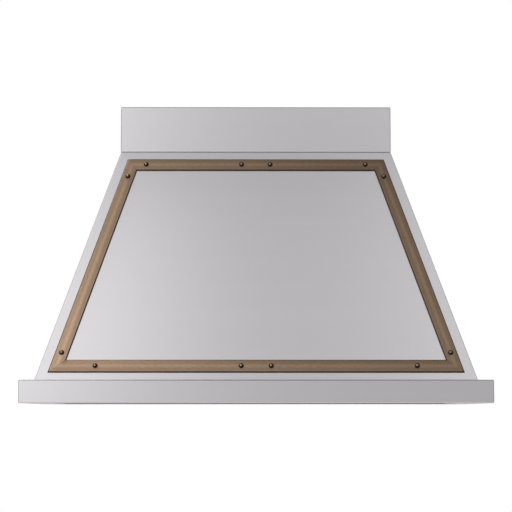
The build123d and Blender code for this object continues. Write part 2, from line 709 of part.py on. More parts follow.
def build_controls():
    """Push buttons under the pan, in a bezel, with the switch housing above them."""
    half_x, half_y = CONTROL_WIDTH / 2, CONTROL_DEPTH / 2
    bezel = block(
        -half_x, half_x, PAN_MIDDLE - half_y, PAN_MIDDLE + half_y, PAN_RECESS - BEZEL_THICK, PAN_RECESS
    )
    bezel = fillet(bezel.edges().filter_by(Axis.Z), CONTROL_MARGIN)
    reach = BUTTON_SIZE / 2 + BUTTON_GAP
    for x in BUTTON_X:
        bezel -= block(x - reach, x + reach, PAN_MIDDLE - reach, PAN_MIDDLE + reach, 0, 2 * PAN_RECESS)
    write("control_bezel", bezel)

    seat = PAN_RECESS + SEAM
    stem_top = PAN_UPPER + SWITCH_HEIGHT / 2 - BUTTON_TRAVEL
    cap, collar, stem = BUTTON_SIZE / 2, BUTTON_SIZE / 2 + BUTTON_COLLAR, BUTTON_STEM
    button = block(-cap, cap, -cap, cap, PAN_RECESS - BEZEL_THICK - BUTTON_PROUD, seat)
    button = chamfer(button.faces().sort_by(Axis.Z)[0].edges(), BUTTON_EDGE)
    button += block(-collar, collar, -collar, collar, seat, seat + BUTTON_COLLAR)
    button += block(-stem, stem, -stem, stem, seat, stem_top)
    for x, node in zip(BUTTON_X, BUTTON_NAMES):
        write(node, Pos(x, PAN_MIDDLE, 0) * button)

    wall = SWITCH_WALL
    housing = block(
        -half_x, half_x, PAN_MIDDLE - half_y, PAN_MIDDLE + half_y, PAN_UPPER, PAN_UPPER + SWITCH_HEIGHT
    )
    ceiling = PAN_UPPER + SWITCH_HEIGHT - 3 * wall
    housing -= block(
        wall - half_x, half_x - wall, PAN_MIDDLE + wall - half_y, PAN_MIDDLE + half_y - wall, 0, ceiling
    )
    write("switch_housing", housing)


# The blower turns about a level axis, and its mouth points up into the outlet.
TONGUE_R = WHEEL_RADIUS + TONGUE_GAP + SPIRAL_STEP / 2
DECK_LOW = CANOPY_TOP + SHEET
DECK_HIGH = DECK_LOW + DECK_SHEET
OUTLET_Y = -TOP_DEPTH / 2
SCROLL_CENTRE_Y = OUTLET_Y - BLOWER_FORWARD
SCROLL_CENTRE_Z = CANOPY_TOP - BLOWER_DROP
MOUTH_Z = SCROLL_CENTRE_Z + MOUTH_HEIGHT
OUTLET_RADIUS = COLLAR_RADIUS - COLLAR_SHEET


def wheel_axis(x):
    """A plane across the blower's axis at x, with its normal along +X."""
    return Plane(origin=(x, SCROLL_CENTRE_Y, SCROLL_CENTRE_Z), x_dir=(0, 1, 0), z_dir=(1, 0, 0))


def across(x0, x1, radius):
    """A cylinder about the blower's axis from x0 to x1."""
    return extrude(wheel_axis(x0) * Circle(radius), amount=x1 - x0)


def scroll_line():
    """The inner line of the spiral casing: tongue, three growing quarter arcs and the mouth."""
    step, first = SPIRAL_STEP, TONGUE_R
    left = (-step / 2, -step / 2)
    right = (step / 2, -step / 2)
    upper = (step / 2, step / 2)
    second, third = first + step, first + 2 * step
    tongue_x, tongue_z = left[0], left[1] + first
    mouth_x = tongue_x + TONGUE_RADIUS
    wall = Line((mouth_x, MOUTH_HEIGHT), (mouth_x, tongue_z + TONGUE_RADIUS))
    tip = CenterArc((tongue_x, tongue_z + TONGUE_RADIUS), TONGUE_RADIUS, 0, -90)
    arc_a = CenterArc(left, first, 90, 90)
    arc_b = CenterArc(right, second, 180, 90)
    arc_c = CenterArc(upper, third, 270, 90)
    rear = Line((upper[0] + third, upper[1]), (upper[0] + third, MOUTH_HEIGHT))
    return Wire([edge for part in (wall, tip, arc_a, arc_b, arc_c, rear) for edge in part.edges()])


def mouth_span():
    """The lowest and highest y of the mouth."""
    front = SCROLL_CENTRE_Y - SPIRAL_STEP / 2 + TONGUE_RADIUS
    back = SCROLL_CENTRE_Y + SPIRAL_STEP / 2 + TONGUE_R + 2 * SPIRAL_STEP
    return front, back


def build_scroll():
    """The spiral casing: a wrapper between two cheeks, and the inlet rings."""
    inner = scroll_line()
    outer = offset(inner, amount=SCROLL_SHEET, side=Side.LEFT, closed=False)
    top = [Line(inner @ 0, outer @ 0), Line(inner @ 1, outer @ 1)]
    ring = make_face(inner.edges() + outer.edges() + [t.edge() for t in top])
    half = SCROLL_HALF_WIDTH
    write("blower_wrapper", extrude(wheel_axis(-half) * ring, amount=2 * half))

    outline = make_face(outer.edges() + [Line(outer @ 0, outer @ 1).edge()])
    outline -= Circle(INLET_RADIUS + INLET_BELL)
    cheeks = []
    for start in (-half - CHEEK_SHEET, half):
        cheeks.append(extrude(wheel_axis(start) * outline, amount=CHEEK_SHEET))
    write("blower_cheeks", Compound(cheeks))

    face, throat = half + CHEEK_SHEET, INLET_RADIUS + INLET_BELL
    path = [(face, throat + INLET_FLANGE), (face, throat - SEAM), (face - INLET_BELL, INLET_RADIUS)]
    section = thin_strip(path, INLET_SHEET)
    plane = Plane(origin=wheel_axis(0).origin, x_dir=(1, 0, 0), z_dir=(0, -1, 0))
    ring = revolve(plane * section, axis=Axis(plane.origin, (1, 0, 0)))
    write("inlet_rings", Compound([ring, mirror(ring, about=Plane.YZ)]))


def build_wheel():
    """The double-inlet wheel with forward-curved blades, and its shaft."""
    start = (WHEEL_INNER, 0)
    lean = radians(BLADE_SWEEP)
    end = (WHEEL_RADIUS * cos(lean), WHEEL_RADIUS * sin(lean))
    middle = ((start[0] + end[0]) / 2 + BLADE_BOW / 2, (start[1] + end[1]) / 2 - BLADE_BOW)
    blade = thin_strip([start, middle, end], BLADE_SHEET)
    blades = Sketch() + [Rot(0, 0, i * 360 / BLADE_COUNT) * blade for i in range(BLADE_COUNT)]
    half = WHEEL_HALF_WIDTH
    wheel = extrude(wheel_axis(-half) * blades, amount=2 * half)
    rim, hole = WHEEL_RADIUS + BLADE_SHEET, WHEEL_INNER - BLADE_SHEET
    wheel += across(-WHEEL_RING / 2, WHEEL_RING / 2, rim)
    for x in (-half - WHEEL_RING, half):
        wheel += across(x, x + WHEEL_RING, rim) - across(x, x + WHEEL_RING, hole)
    wheel += across(-HUB_LENGTH, 0, HUB_RADIUS)
    wheel -= across(-HUB_LENGTH - OVER, OVER, SHAFT_RADIUS + SHAFT_SEAT)
    write("blower_wheel", wheel)
    write("wheel_shaft", across(-HUB_LENGTH - OVER, MOTOR_START + SHAFT_REACH, SHAFT_RADIUS))


def build_motor():
    """The motor inside one half of the wheel, its three-armed bracket and its capacitor."""
    outer = SCROLL_HALF_WIDTH + CHEEK_SHEET
    end = outer + INLET_SHEET + SEAM
    motor = across(MOTOR_START, end, MOTOR_RADIUS)
    motor = chamfer(motor.edges().filter_by(GeomType.CIRCLE), MOTOR_EDGE)
    motor -= across(0, MOTOR_START + SHAFT_REACH + OVER, SHAFT_RADIUS + SHAFT_RUNNING)
    write("blower_motor", motor)

    ring_outer = MOTOR_RADIUS + SEAM + CLAMP_SHEET
    clamp = across(end - 2 * CLAMP_WIDTH, end + CLAMP_SHEET, ring_outer)
    reach = ARM_RADIUS + ARM_FOOT / 2
    for angle in ARM_ANGLES:
        arm = Pos(reach / 2, 0) * Rectangle(reach, ARM_WIDTH)
        clamp += extrude(wheel_axis(end) * (Rot(0, 0, angle) * arm), amount=CLAMP_SHEET)
        foot = Pos(ARM_RADIUS, 0) * Rectangle(ARM_FOOT, ARM_WIDTH)
        clamp += extrude(wheel_axis(outer) * (Rot(0, 0, angle) * foot), amount=end - outer)
    clamp -= across(end - 2 * CLAMP_WIDTH - OVER, end + OVER, MOTOR_RADIUS + SEAM)
    write("motor_bracket", clamp)

    x = -outer - CAPACITOR_RADIUS - CLAMP_SHEET
    y, high, half = CAPACITOR_Y, MOUTH_Z - CAPACITOR_RADIUS, CAPACITOR_RADIUS / 2
    low = high - CAPACITOR_LENGTH
    can = upright(x, y, low, high, CAPACITOR_RADIUS)
    can = chamfer(can.edges().filter_by(GeomType.CIRCLE), CLAMP_SHEET)
    saddle = block(x, -outer, y - half, y + half, low + OVER, high - OVER)
    write("motor_capacitor", can + saddle)


def build_outlet():
    """The flared boot from the blower's mouth to the round collar, and the damper in the collar."""
    front, back = mouth_span()
    depth, centre = back - front, (front + back) / 2
    width, square = 2 * SCROLL_HALF_WIDTH, 2 * (OUTLET_RADIUS + SEAM)

    def flare(wall, low, high):
        half, end = width / 2 + wall, square / 2 + wall
        face = make_face(Polyline((-half, low), (half, low), (end, high), (-end, high), close=True))
        side = Polyline(
            (front - wall, low), (back + wall, low), (OUTLET_Y + end, high), (OUTLET_Y - end, high),
            close=True,
        )
        plane = Plane(origin=(0, 0, 0), x_dir=(1, 0, 0), z_dir=(0, -1, 0))
        return along_x(make_face(side), -half, half) & extrude(plane * face, amount=HOOD_DEPTH)

    lip, wall = TRANSITION_FLANGE, CHEEK_SHEET
    boot = flare(wall, MOUTH_Z, DECK_LOW)
    boot += Pos(0, centre, MOUTH_Z + wall / 2) * Box(width + 2 * lip, depth + 2 * lip, wall)
    boot += Pos(0, OUTLET_Y, DECK_LOW - wall / 2) * Box(square + 2 * lip, square + 2 * lip, wall)
    write("outlet_transition", boot - flare(0, MOUTH_Z, DECK_LOW))

    inner = OUTLET_RADIUS
    collar = upright(0, OUTLET_Y, DECK_HIGH, DECK_HIGH + COLLAR_HEIGHT, COLLAR_RADIUS)
    collar += upright(0, OUTLET_Y, DECK_HIGH, DECK_HIGH + COLLAR_SHEET, COLLAR_RADIUS + COLLAR_FLANGE)
    collar -= upright(0, OUTLET_Y, DECK_HIGH, DECK_HIGH + COLLAR_HEIGHT, inner)
    stop = DECK_HIGH + STOP_HEIGHT
    ledge = upright(0, OUTLET_Y, stop, stop + COLLAR_SHEET, inner + COLLAR_SHEET / 2)
    collar += ledge - upright(0, OUTLET_Y, stop, stop + COLLAR_SHEET, inner - STOP_WIDTH)
    write("outlet_collar", collar)

    seat = stop + COLLAR_SHEET + FLAP_SEAT
    knuckle = DAMPER_PIN + KNUCKLE_RUNNING + KNUCKLE_SHEET
    axis_z = seat + knuckle - KNUCKLE_SHEET + FLAP_SHEET
    pin = Pos(0, OUTLET_Y, axis_z) * Rot(0, 90, 0) * Cylinder(DAMPER_PIN, 2 * (inner - SEAM))
    write("damper_pin", pin)
    disc = upright(0, OUTLET_Y, seat, seat + FLAP_SHEET, inner - FLAP_GAP)
    near, far = knuckle + FLAP_GAP / 2, inner + OVER
    half = KNUCKLE_LENGTH / 2 - FLAP_GAP
    bore = Pos(0, OUTLET_Y, axis_z) * Rot(0, 90, 0) * Cylinder(DAMPER_PIN + KNUCKLE_RUNNING, 2 * far)
    tube = Rot(0, 90, 0) * Cylinder(knuckle, 2 * half)
    for node, s, places in (("damper_flap_front", -1, (-3, 1)), ("damper_flap_rear", 1, (-1, 3))):
        low_y, high_y = sorted((OUTLET_Y + s * near, OUTLET_Y + s * far))
        flap = disc & block(-far, far, low_y, high_y, seat - OVER, seat + OVER)
        low_y, high_y = sorted((OUTLET_Y, OUTLET_Y + s * (near + FLAP_GAP)))
        for place in places:
            x = place * KNUCKLE_LENGTH
            flap += block(x - half, x + half, low_y, high_y, seat, seat + FLAP_SHEET)
            flap += Pos(x, OUTLET_Y, axis_z) * tube
        write(node, flap - bore)


def build_deck():
    """The deck that closes the canopy's top and carries the blower, with its bolts."""
    half, front = TOP_HALF - BEND - SEAM, TOP_DEPTH - BEND - SEAM
    deck = block(-half, half, -front, -SHEET - SEAM, DECK_LOW, DECK_HIGH)
    deck = fillet(deck.edges().filter_by(Axis.Z), BEND)
    deck -= upright(0, OUTLET_Y, 0, BAND_TOP, OUTLET_RADIUS)
    deck -= upright(*BOX_PLACE, 0, BAND_TOP, GLAND_BODY + SEAM)
    deck -= bolt_holes()
    write("blower_deck", deck)

    tip, neck = CANOPY_TOP - SHEET - NUT_HEIGHT, BOLT_NECK / 2
    seat = Pos(0, 0, DECK_HIGH) * RegularPolygon(BOLT_HEAD / 2, SCREW_SIDES)
    crown = Pos(0, 0, DECK_HIGH + BOLT_HEAD_HEIGHT) * RegularPolygon(BOLT_HEAD_TOP / 2, SCREW_SIDES)
    bolt = loft([seat, crown], ruled=True) + block(-neck, neck, -neck, neck, tip, DECK_HIGH)
    bolt += extrude(Pos(0, 0, tip) * RegularPolygon(BOLT_NUT / 2, 6, major_radius=False), amount=NUT_HEIGHT)
    write("deck_bolts", Compound([Pos(x, y, 0) * bolt for x, y in bolt_points()]))


def build_junction_box():
    """The wiring box under the deck, its cover, and the gland where the supply comes in."""
    length, depth, height = BOX_SIZE
    x, y = BOX_PLACE
    wall = BOX_WALL
    low = DECK_LOW - height
    half_x, half_y = length / 2, depth / 2
    box = block(x - half_x, x + half_x, y - half_y, y + half_y, low, DECK_LOW)
    half_x, half_y = half_x - wall, half_y - wall
    box -= block(x - half_x, x + half_x, y - half_y, y + half_y, low - OVER, DECK_LOW - wall)
    write("junction_box", box - upright(x, y, low, BAND_TOP, GLAND_BODY + SEAM))
    half_x, half_y = length / 2, depth / 2
    cover = block(x - half_x, x + half_x, y - half_y, y + half_y, low - wall, low)
    write("junction_box_cover", cover)

    hexagon = RegularPolygon(GLAND_HEX / 2, 6, major_radius=False)
    bottom = DECK_LOW - wall - GLAND_THREAD
    gland = upright(x, y, bottom, DECK_HIGH + GLAND_HEX_HEIGHT, GLAND_BODY)
    gland += extrude(Pos(x, y, DECK_HIGH) * hexagon, amount=GLAND_HEX_HEIGHT)
    cap = RegularPolygon(GLAND_CAP / 2, 6, major_radius=False)
    dome = extrude(Pos(x, y, DECK_HIGH) * cap, amount=GLAND_HEIGHT)
    gland += chamfer(dome.faces().sort_by(Axis.Z)[-1].edges(), wall)
    gland += extrude(Pos(x, y, bottom + wall) * hexagon, amount=GLAND_THREAD - wall)
    gland -= upright(x, y, 0, BAND_TOP, GLAND_BORE)
    write("cable_gland", gland)


build_lip()
build_rear_rail()
build_canopy()
build_back()
build_band()
build_trim()
build_light_panel()
build_side_liners()
build_filters()
build_grease_tray()
build_lamps()
build_controls()
build_scroll()
build_wheel()
build_motor()
build_outlet()
build_deck()
build_junction_box()
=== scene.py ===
from math import atan, cos, hypot, pi, radians, sin

import bmesh
import bpy
from mathutils import Matrix, Vector


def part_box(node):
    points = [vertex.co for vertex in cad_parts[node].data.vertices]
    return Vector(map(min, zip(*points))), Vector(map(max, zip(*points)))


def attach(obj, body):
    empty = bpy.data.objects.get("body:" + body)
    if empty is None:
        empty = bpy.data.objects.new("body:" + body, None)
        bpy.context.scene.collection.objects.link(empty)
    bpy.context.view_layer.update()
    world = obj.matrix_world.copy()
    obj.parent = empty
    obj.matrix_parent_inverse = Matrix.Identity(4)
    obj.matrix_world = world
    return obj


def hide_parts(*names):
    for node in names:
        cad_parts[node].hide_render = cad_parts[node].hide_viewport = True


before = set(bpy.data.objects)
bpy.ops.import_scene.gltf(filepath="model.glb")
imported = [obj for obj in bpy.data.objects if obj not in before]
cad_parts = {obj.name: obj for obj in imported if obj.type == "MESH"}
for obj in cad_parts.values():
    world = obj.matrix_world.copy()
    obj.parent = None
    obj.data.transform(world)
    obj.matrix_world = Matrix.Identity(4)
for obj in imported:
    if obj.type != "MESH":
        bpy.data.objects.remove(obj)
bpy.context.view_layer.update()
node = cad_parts
bpy.ops.object.select_all(action="DESELECT")


# Studio. The hood hangs against white, 1.6 m above a pale floor. Soft boxes stand at its left and
# upper right, and a small lamp high on the left picks out the screws. The room that the metal
# mirrors is pale, darker towards the right and open at the back.
scene = bpy.context.scene
scene.view_settings.view_transform = "Standard"

bpy.ops.object.camera_add(
    location=(-0.0267, -4.910, -0.0233), rotation=(radians(95.335), 0, radians(-0.342))
)
camera = bpy.context.object
camera.name = "camera"
camera.data.lens = 117.70
camera.data.sensor_width = 36.0
scene.camera = camera


def place_node(tree, kind, inputs=None, **settings):
    """A node with its settings. An input takes a value, or a wire from another node's output."""
    made = tree.nodes.new(kind)
    for setting, choice in settings.items():
        setattr(made, setting, choice)
    for socket, value in (inputs or {}).items():
        if isinstance(value, bpy.types.NodeSocket):
            tree.links.new(value, made.inputs[socket])
        else:
            made.inputs[socket].default_value = value
    return made


def new_finish(name, metal=0.0):
    """A new material, with its node tree and its shader."""
    material = bpy.data.materials.new(name)
    material.use_nodes = True
    shader = material.node_tree.nodes["Principled BSDF"]
    shader.inputs["Metallic"].default_value = metal
    return material, material.node_tree, shader


def larger(tree, a, b):
    """The larger of two values."""
    return place_node(tree, "ShaderNodeMath", {0: a, 1: b}, operation="MAXIMUM").outputs[0]


def shared(tree, share, first, second):
    """Two surfaces or lights as one. The share is the second one's."""
    inputs = {0: share, 1: first.outputs[0], 2: second.outputs[0]}
    return place_node(tree, "ShaderNodeMixShader", inputs)


world = bpy.data.worlds.new("studio")
scene.world = world
world.use_nodes = True
room = world.node_tree
room.nodes.clear()
outward = place_node(room, "ShaderNodeTexCoord")
axes = place_node(room, "ShaderNodeSeparateXYZ", {0: outward.outputs["Generated"]})


def room_ramp(axis, stops):
    """Brightness of the room along one direction, from -1 to 1."""
    level = place_node(room, "ShaderNodeMapRange", {"Value": axes.outputs[axis], "From Min": -1.0})
    ramp = place_node(room, "ShaderNodeValToRGB", {0: level.outputs[0]})
    ramp.color_ramp.interpolation = "B_SPLINE"
    while len(ramp.color_ramp.elements) < len(stops):
        ramp.color_ramp.elements.new(0.5)
    for element, (place, value) in zip(ramp.color_ramp.elements, stops):
        element.position = (place + 1) / 2
        element.color = (value, value, value, 1)
    return ramp.outputs["Color"]


shade = room_ramp("X", (
    (-1, 0.80), (-0.4, 0.80), (0.2, 0.62), (0.36, 0.60),
    (0.5, 0.16), (0.8, 0.16), (0.95, 0.6), (1, 0.6),
))
for way, axis, stops in (
    ("MULTIPLY", "Z", ((-1, 1.02), (0.5, 1.02), (0.78, 0.82), (0.86, 0.6), (1, 0.5))),
    ("LIGHTEN", "Y", ((-1, 0.0), (0.45, 0.0), (0.75, 1.0), (1, 1.0))),
    ("LIGHTEN", "Z", ((-1, 0.0), (0.58, 0.0), (0.76, 0.52), (1, 0.52))),
):
    both = place_node(
        room, "ShaderNodeMix", {"Factor": 1.0, "A": shade, "B": room_ramp(axis, stops)},
        data_type="RGBA", blend_type=way,
    )
    shade = both.outputs["Result"]
mirrored = place_node(room, "ShaderNodeBackground", {"Color": shade})
dim = place_node(room, "ShaderNodeBackground", {"Color": (1, 1, 1, 1), "Strength": 0.45})
white = place_node(room, "ShaderNodeBackground", {"Color": (1, 1, 1, 1)})
rays = place_node(room, "ShaderNodeLightPath").outputs
seen = larger(room, rays["Is Camera Ray"], rays["Is Transmission Ray"])
lit = shared(room, rays["Is Glossy Ray"], dim, mirrored)
place_node(room, "ShaderNodeOutputWorld", {"Surface": shared(room, seen, lit, white).outputs[0]})

# Each lamp has its name, its place, what it is aimed at, its width in metres and its watts.
for name, place, aim, width, power in (
    ("softbox_left", (-1.69, -2.19, 0.54), (-0.2, -0.5, 0.3), 2.4, 12.5),
    ("softbox_left_high", (-0.84, -2.20, 1.79), (0, -0.47, 0.35), 1.0, 3.5),
    ("softbox_left_front", (-1.01, -2.67, 0.49), (0, -0.5, 0.3), 1.0, 2.0),
    ("softbox_right", (1.50, -1.97, 1.47), (0.2, -0.45, 0.3), 2.0, 9.0),
    ("spot_left_above", (-1.2, 0.0, 2.45), (0, -0.47, 0.45), 0.5, 28.0),
):
    facing = (Vector(aim) - Vector(place)).to_track_quat("-Z", "Y").to_euler()
    bpy.ops.object.light_add(type="AREA", location=place, rotation=facing)
    lamp = bpy.context.object
    lamp.name = name
    lamp.data.size = width
    lamp.data.energy = power
    lamp.visible_camera = False

# The floor shows pale to the camera and in the metal, and is clear from below.
FLOOR_LEVEL, FLOOR_WIDTH, FLOOR_WASH = -1.6, 12, 0.40
bpy.ops.mesh.primitive_plane_add(size=FLOOR_WIDTH, location=(0, 0, FLOOR_LEVEL))
floor = bpy.context.object
floor.name = "floor"
pale, tree, paint = new_finish("floor_paint")
paint.inputs["Base Color"].default_value = (0.80, 0.80, 0.79, 1)
paint.inputs["Roughness"].default_value = 0.8
paint.inputs["Emission Color"].default_value = (1, 1, 1, 1)
rays = place_node(tree, "ShaderNodeLightPath").outputs
seen = larger(tree, rays["Is Camera Ray"], rays["Is Glossy Ray"])
wash = place_node(tree, "ShaderNodeMath", {0: seen, 1: FLOOR_WASH}, operation="MULTIPLY")
tree.links.new(wash.outputs[0], paint.inputs["Emission Strength"])
below = place_node(tree, "ShaderNodeNewGeometry").outputs["Backfacing"]
clear = place_node(tree, "ShaderNodeBsdfTransparent")
one_way = shared(tree, below, paint, clear)
tree.links.new(one_way.outputs[0], tree.nodes["Material Output"].inputs["Surface"])
floor.data.materials.append(pale)


# Lip. One strip of brushed stainless sheet is folded round the front and both sides and turned in
# at the top and bottom. A plain channel closes it along the wall.
WELD = 0.00001          # points nearer than this are one point
BEND_WIDTH = 0.0020     # strips narrower than this are bends
# painted shade: a bend keeps only this share of its sheet's brightness
BEND_SHADE_TONE = 0.45        # how much of its brightness a bend keeps
SHARP = radians(40)     # edges sharper than this stay edges


def pick(obj):
    """Only this object is selected and active."""
    bpy.ops.object.select_all(action="DESELECT")
    obj.select_set(True)
    bpy.context.view_layer.objects.active = obj


def mark_bends(obj, under):
    """Narrow strips that stand upright or face up are bends, marked for painted shade. With under,
    so are those below.
    """
    mesh = obj.data
    marks = mesh.attributes.new("bend", "FLOAT", "FACE")
    for face in mesh.polygons:
        corners = [mesh.vertices[i].co for i in face.vertices]
        sides = [b - a for a, b in zip(corners, corners[1:] + corners[:1])]
        run = max(sides, key=lambda side: side.length)
        narrow = face.area < BEND_WIDTH * run.length
        tilted = face.normal.z > 0.25 or (under and face.normal.z < -0.25)
        level = abs(run.z) < 0.001 * run.length and tilted
        upright = abs(run.z) > 0.999 * run.length and abs(face.normal.x) > 0.2
        marks.data[face.index].value = 1.0 if narrow and (level or upright) else 0.0


def round_corners(obj, radius):
    """The two upright corners of a folded surround are bent, not sharp."""
    near = 0.0001
    bpy.ops.object.mode_set(mode="EDIT")
    bpy.ops.mesh.select_mode(type="EDGE")
    bpy.ops.mesh.select_all(action="DESELECT")
    mesh = bmesh.from_edit_mesh(obj.data)
    widest = max(v.co.x for v in mesh.verts)
    foremost = min(v.co.y for v in mesh.verts)
    for edge in mesh.edges:
        a, b = (v.co for v in edge.verts)
        upright = abs(a.x - b.x) < near and abs(a.y - b.y) < near
        if upright and abs(abs(a.x) - widest) < near and abs(a.y - foremost) < near:
            edge.select_set(True)
    bmesh.update_edit_mesh(obj.data)
    bpy.ops.mesh.bevel(offset=radius, segments=3, affect="EDGES")
    bpy.ops.object.mode_set(mode="OBJECT")


def ease_edges(obj, edge, sharp=SHARP):
    """Cut edges are eased a little, and rounds are smooth."""
    bevel = obj.modifiers.new("eased", "BEVEL")
    bevel.width = edge
    bevel.segments = 2
    bevel.limit_method = "ANGLE"
    bevel.angle_limit = sharp
    bpy.ops.object.modifier_apply(modifier="eased")
    bpy.ops.object.shade_smooth_by_angle(angle=sharp)


def worked_copy(name, piece, edge, corner=None, under=False):
    """A copy of a folded or turned node, welded to whole faces, with its cut edges eased."""
    made = bpy.data.objects.new(piece, node[name].data.copy())
    scene.collection.objects.link(made)
    pick(made)
    made.data.materials.clear()
    bpy.ops.object.mode_set(mode="EDIT")
    bpy.ops.mesh.select_all(action="SELECT")
    bpy.ops.mesh.remove_doubles(threshold=WELD)
    bpy.ops.mesh.dissolve_limited(angle_limit=radians(0.5))
    bpy.ops.object.mode_set(mode="OBJECT")
    if corner:
        round_corners(made, corner)
    ease_edges(made, edge)
    even = made.modifiers.new("even", "WEIGHTED_NORMAL")
    even.keep_sharp = True
    bpy.ops.object.modifier_apply(modifier="even")
    mark_bends(made, under)
    return made


def stand_for(piece, name, body, material):
    """The piece takes the place of this node and rides on its body."""
    piece.data.materials.clear()
    piece.data.materials.append(material)
    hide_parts(name)
    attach(piece, body)


def new_group(name, inputs, outputs):
    """An empty shader group with its sockets, and the two ends to wire."""
    group = bpy.data.node_groups.new(name, "ShaderNodeTree")
    for label, kind in inputs:
        group.interface.new_socket(name=label, in_out="INPUT", socket_type=f"NodeSocket{kind}")
    for label, kind in outputs:
        group.interface.new_socket(name=label, in_out="OUTPUT", socket_type=f"NodeSocket{kind}")
    near_end, far_end = place_node(group, "NodeGroupInput"), place_node(group, "NodeGroupOutput")
    return group, near_end.outputs, far_end.inputs


def sum_of(tree, value, scale, add):
    """value times scale plus add."""
    inputs = {0: value, 1: scale, 2: add}
    return place_node(tree, "ShaderNodeMath", inputs, operation="MULTIPLY_ADD").outputs[0]


def scaled(tree, vector, scale):
    """A colour or a place, times a number."""
    inputs = {0: vector, "Scale": scale}
    return place_node(tree, "ShaderNodeVectorMath", inputs, operation="SCALE").outputs[0]


def laid_over(tree, share, base, cover):
    """One colour laid over another, by this share."""
    inputs = {"Factor": share, "A": base, "B": cover}
    return place_node(tree, "ShaderNodeMix", inputs, data_type="RGBA").outputs["Result"]


# Fine streaks with wide, faint bands under them. Their level moves the colour and the roughness.
BAND_SCALE, BAND_WEIGHT, MIDDLE = 0.035, 0.6, 0.8
grain, given, out = new_group(
    "brushed_grain",
    (
        ("Place", "Vector"), ("Colour", "Color"),
        ("Contrast", "Float"), ("Roughness", "Float"), ("Spread", "Float"),
    ),
    (("Colour", "Color"), ("Roughness", "Float"), ("Height", "Float")),
)
streaks = place_node(
    grain, "ShaderNodeTexNoise",
    {"Vector": given["Place"], "Scale": 1.0, "Detail": 4.0, "Roughness": 0.6},
)
bands = place_node(
    grain, "ShaderNodeTexNoise",
    {"Vector": scaled(grain, given["Place"], BAND_SCALE), "Scale": 1.0, "Detail": 2.0},
)
both = sum_of(grain, bands.outputs[0], BAND_WEIGHT, streaks.outputs[0])
level = sum_of(grain, both, 1.0, -MIDDLE)
tone = sum_of(grain, level, given["Contrast"], 1.0)
grain.links.new(scaled(grain, given["Colour"], tone), out["Colour"])
grain.links.new(sum_of(grain, level, given["Spread"], given["Roughness"]), out["Roughness"])
grain.links.new(streaks.outputs[0], out["Height"])

# A bend is painted darker than its sheet: painted shade for the dark that its curve mirrors.
bend_painted_shade, given, out = new_group(
    "bend_painted_shade",
    (("Bend", "Float"), ("Colour", "Color"), ("Shaded", "Color")),
    (("Colour", "Color"),),
)
shaded_bend = laid_over(bend_painted_shade, given["Bend"], given["Colour"], given["Shaded"])
bend_painted_shade.links.new(shaded_bend, out["Colour"])


def raise_relief(tree, shader, height, depth, strength):
    """A fine relief on the shader, from a height."""
    bump = place_node(
        tree, "ShaderNodeBump", {"Height": height, "Distance": depth, "Strength": strength}
    )
    tree.links.new(bump.outputs[0], shader.inputs["Normal"])


def lay_grain(tree, shader, place, stretch, colour, contrast, rough, spread, depth, strength=0.5):
    """The grain gives a shader its roughness and relief. Its colour is handed back."""
    turn = place_node(tree, "ShaderNodeMapping", {"Vector": place, "Scale": stretch})
    strokes = place_node(
        tree, "ShaderNodeGroup",
        {
            "Place": turn.outputs[0], "Colour": (*colour, 1), "Contrast": contrast,
            "Roughness": rough, "Spread": spread,
        },
        node_tree=grain,
    ).outputs
    tree.links.new(strokes["Roughness"], shader.inputs["Roughness"])
    raise_relief(tree, shader, strokes["Height"], depth, strength)
    return strokes["Colour"]


def brushed(name, colour, stretch, contrast=0.10, rough=0.38, spread=0.10, depth=0.00002):
    """Metal brushed in straight strokes. stretch is how fine the pattern is along X, Y and Z."""
    material, tree, shader = new_finish(name, metal=1.0)
    place = place_node(tree, "ShaderNodeTexCoord").outputs["Object"]
    strokes = lay_grain(tree, shader, place, stretch, colour, contrast, rough, spread, depth)
    # Painted shade: marked bends take the darker colour.
    bend = place_node(tree, "ShaderNodeAttribute", attribute_name="bend")
    bend_shade = tuple(BEND_SHADE_TONE * value for value in colour) + (1,)
    worn = place_node(
        tree, "ShaderNodeGroup", {"Bend": bend.outputs["Fac"], "Colour": strokes, "Shaded": bend_shade},
        node_tree=bend_painted_shade,
    )
    tree.links.new(worn.outputs["Colour"], shader.inputs["Base Color"])
    return material


STAINLESS = (0.585, 0.565, 0.584)
level_steel = brushed(
    "steel_brushed_level", STAINLESS, (5, 700, 700), contrast=0.05, spread=0.05, depth=0.00001
)
lip = worked_copy("lip_apron", "lip_sheet", 0.0003, corner=0.0015)
stand_for(lip, "lip_apron", "hood", level_steel)
rear_rail = worked_copy("rear_rail", "rear_channel", 0.0002)
stand_for(rear_rail, "rear_rail", "hood", level_steel)


# Canopy. Three sheets folded to a tapering hood: the front with its returns, and the two sides
# welded to it. The strokes run level on the front and from wall to front on the sides.
front = worked_copy("front_panel", "front_sheet", 0.0006)
stand_for(front, "front_panel", "hood", level_steel)
side_steel = brushed(
    "steel_brushed_side", STAINLESS, (700, 5, 700), contrast=0.05, spread=0.05, depth=0.00001
)
for side in ("left", "right"):
    sheet = worked_copy(f"{side}_side_panel", f"{side}_sheet", 0.0003)
    stand_for(sheet, f"{side}_side_panel", "hood", side_steel)


# Back. A flat stainless sheet against the wall. The plainer, duller side of the sheet shows, since
# nothing sees it once the hood is hung.
back_steel = brushed("steel_dull_back", (0.42, 0.41, 0.41), (5, 300, 500), contrast=0.16, rough=0.5)
back = worked_copy("back_panel", "back_sheet", 0.0002)
stand_for(back, "back_panel", "hood", back_steel)


# Duct band. A low upright surround of the same sheet, folded like the lip, that hides the joint
# with the duct. Its lower bend is painted darker too, a painted shadow line above the canopy.
band = worked_copy("duct_band", "band_sheet", 0.0012, corner=0.0018, under=True)
stand_for(band, "duct_band", "hood", level_steel)
